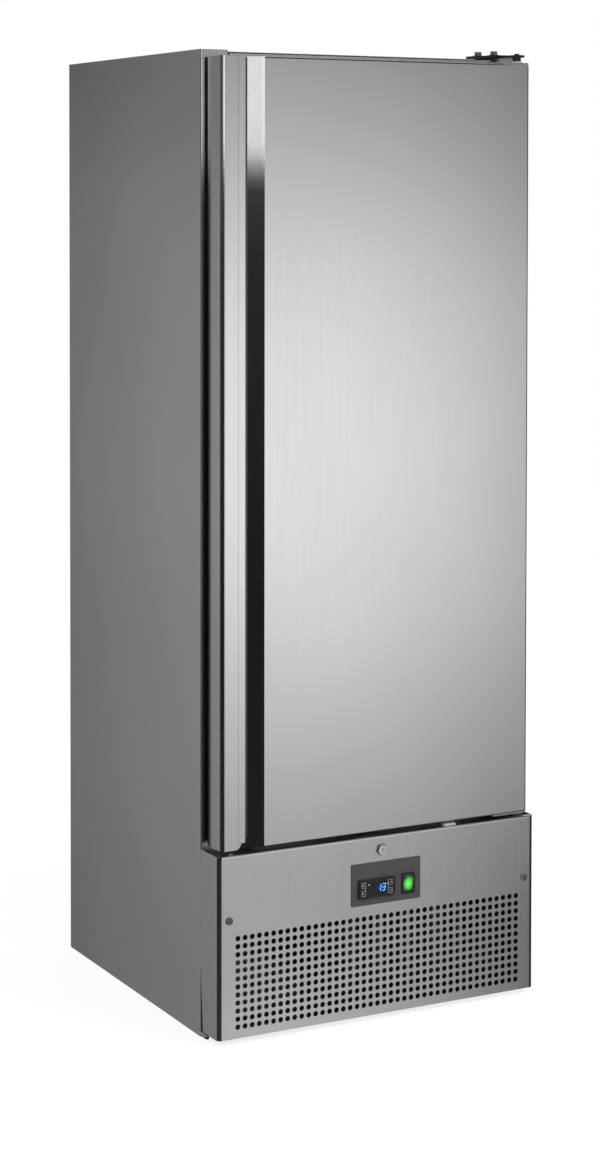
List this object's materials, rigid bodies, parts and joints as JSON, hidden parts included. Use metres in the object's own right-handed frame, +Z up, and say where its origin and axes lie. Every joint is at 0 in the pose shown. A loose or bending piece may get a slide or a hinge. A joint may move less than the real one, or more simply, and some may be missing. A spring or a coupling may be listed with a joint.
{
  "type": "upright freezer",
  "caption": "Upright single-door freezer cabinet in folded stainless sheet with a recessed grip and a perforated machine bay cover.",
  "frame": {"origin": "middle of the base, at the height of the floor", "axes": "+Z up, +X to the right as seen from the front, the front with the door faces -Y"},
  "size_m": [0.68, 0.706, 1.8275],
  "materials": {
    "stainless": "satin",
    "polished_steel": "polished",
    "galvanised": "satin",
    "foam": "matte",
    "liner_steel": "satin",
    "grey_plastic": "satin",
    "plate_grey": "satin",
    "black_plastic": "gloss",
    "key_plastic": "satin",
    "lit_green": "gloss",
    "lock_chrome": "polished",
    "black_paint": "satin",
    "rubber": "matte",
    "copper": "satin",
    "aluminium": "satin",
    "dark_plastic": "matte",
    "pale_plastic": "satin",
    "screw_steel": "satin"
  },
  "bodies": {
    "cabinet": {"left_side_panel": "stainless", "right_side_panel": "stainless", "top_panel": "stainless", "back_panel": "galvanised", "bay_ceiling": "galvanised", "insulation_foam": "foam", "inner_liner": "liner_steel", "breaker_frame": "grey_plastic", "base_pan": "black_paint", "front_cover": "stainless", "cover_screws": "screw_steel", "cover_brackets": "galvanised", "control_plate": "plate_grey", "thermostat_case": "black_plastic", "rocker_frame": "black_plastic", "lock_barrel": "lock_chrome", "compressor": "black_paint", "compressor_grommets": "rubber", "condenser_coil": "copper", "condenser_fins": "aluminium", "condenser_shroud": "galvanised", "condenser_fan_motor": "black_paint", "refrigerant_pipes": "copper", "evaporation_tray": "dark_plastic", "drain_tube": "pale_plastic", "electrical_box": "grey_plastic", "mains_inlet": "dark_plastic", "rear_guard": "galvanised", "wall_spacers": "rubber", "evaporator_coil": "copper", "evaporator_fins": "aluminium", "evaporator_housing": "liner_steel", "evaporator_fan_motor": "black_paint", "shelf_uprights": "liner_steel", "shelf_runners": "liner_steel", "shelf_1": "polished_steel", "shelf_2": "polished_steel", "shelf_3": "polished_steel", "shelf_4": "polished_steel", "top_hinge_bracket": "black_paint", "top_hinge_bolts": "screw_steel", "bottom_hinge_bracket": "black_paint"},
    "door": {"door_skin": "stainless", "handle_strip": "stainless", "handle_trough": "polished_steel", "handle_caps": "grey_plastic", "door_foam": "foam", "door_inner_panel": "liner_steel", "door_gasket": "rubber", "door_hinge_plates": "galvanised", "door_bushes": "pale_plastic", "strike_plate": "galvanised"},
    "lock_plug_body": {"lock_plug": "lock_chrome"},
    "rocker_body": {"rocker": "lit_green"},
    "key_set_body": {"key_set": "key_plastic"},
    "key_light_body": {"key_light": "key_plastic"},
    "key_up_body": {"key_up": "key_plastic"},
    "key_down_body": {"key_down": "key_plastic"},
    "condenser_fan_body": {"condenser_fan": "dark_plastic"},
    "evaporator_fan_body": {"evaporator_fan": "dark_plastic"}
  },
  "joints": [
    {"name": "door_hinge", "type": "hinge", "parent": "cabinet", "child": "door", "pos_m": [0.313, -0.316, 1], "axis": [0, 0, 1], "range_deg": [0, 110]},
    {"name": "lock_turn", "type": "hinge", "parent": "cabinet", "child": "lock_plug_body", "pos_m": [0, -0.33, 0.323], "axis": [0, 1, 0], "range_deg": [0, 90]},
    {"name": "rocker_tilt", "type": "hinge", "parent": "cabinet", "child": "rocker_body", "pos_m": [0.057, -0.343, 0.253], "axis": [-1, 0, 0], "range_deg": [0, 14]},
    {"name": "key_set_press", "type": "slide", "parent": "cabinet", "child": "key_set_body", "axis": [0, 1, 0], "range_m": [0, 0.0008], "stiffness_N_per_m": 800},
    {"name": "key_light_press", "type": "slide", "parent": "cabinet", "child": "key_light_body", "axis": [0, 1, 0], "range_m": [0, 0.0008], "stiffness_N_per_m": 800},
    {"name": "key_up_press", "type": "slide", "parent": "cabinet", "child": "key_up_body", "axis": [0, 1, 0], "range_m": [0, 0.0008], "stiffness_N_per_m": 800},
    {"name": "key_down_press", "type": "slide", "parent": "cabinet", "child": "key_down_body", "axis": [0, 1, 0], "range_m": [0, 0.0008], "stiffness_N_per_m": 800},
    {"name": "condenser_fan_spin", "type": "hinge", "parent": "cabinet", "child": "condenser_fan_body", "pos_m": [0.1, -0.184, 0.1263], "axis": [0, 1, 0], "continuous": true},
    {"name": "evaporator_fan_spin", "type": "hinge", "parent": "cabinet", "child": "evaporator_fan_body", "pos_m": [0, -0.106, 1.666], "axis": [0, 1, 0], "continuous": true}
  ]
}
